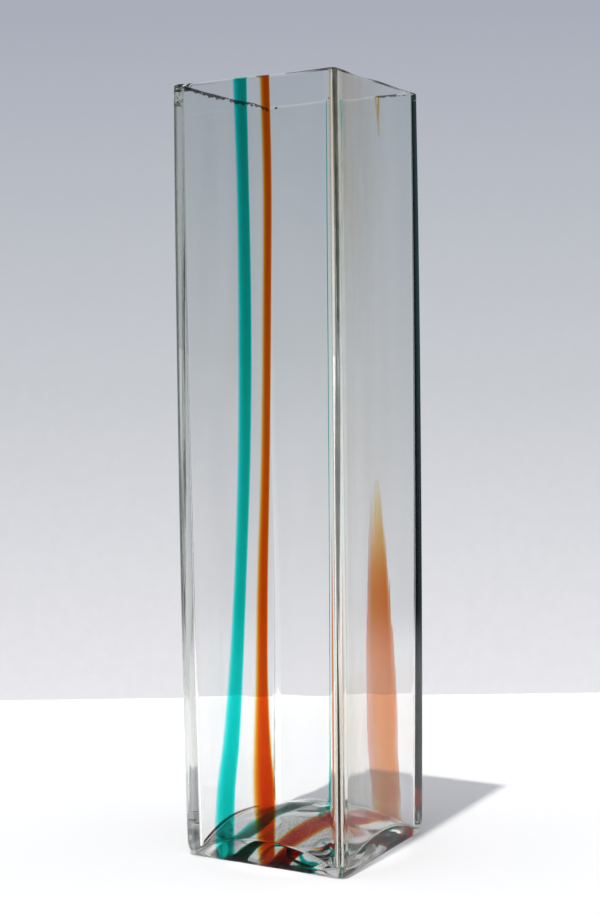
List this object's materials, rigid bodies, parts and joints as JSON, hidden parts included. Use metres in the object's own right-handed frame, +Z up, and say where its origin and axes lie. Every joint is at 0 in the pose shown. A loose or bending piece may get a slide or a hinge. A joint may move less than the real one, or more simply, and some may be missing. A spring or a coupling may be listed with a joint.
{
  "type": "blown glass vase",
  "caption": "Tall square vase of clear mould-blown glass with a turquoise and an orange stripe melted into its walls, and a slightly kicked-up base.",
  "frame": {"origin": "middle of the foot, on the surface that the vase stands on", "axes": "+Z up along the vase; the front wall, with both stripes, faces -Y; the back wall, with the flame-shaped end of the orange stripe, faces +Y"},
  "size_m": [0.0936, 0.0936, 0.39],
  "materials": {
    "clear_glass": "fire-polished, clear with a faint grey-green tint",
    "turquoise_glass": "dense translucent coloured glass, glossy",
    "orange_glass": "transparent amber-orange glass, glossy"
  },
  "bodies": {
    "root": {"clear_vessel": "clear_glass", "turquoise_cane": "turquoise_glass", "orange_cane": "orange_glass", "orange_rim_tail": "orange_glass"}
  },
  "joints": []
}
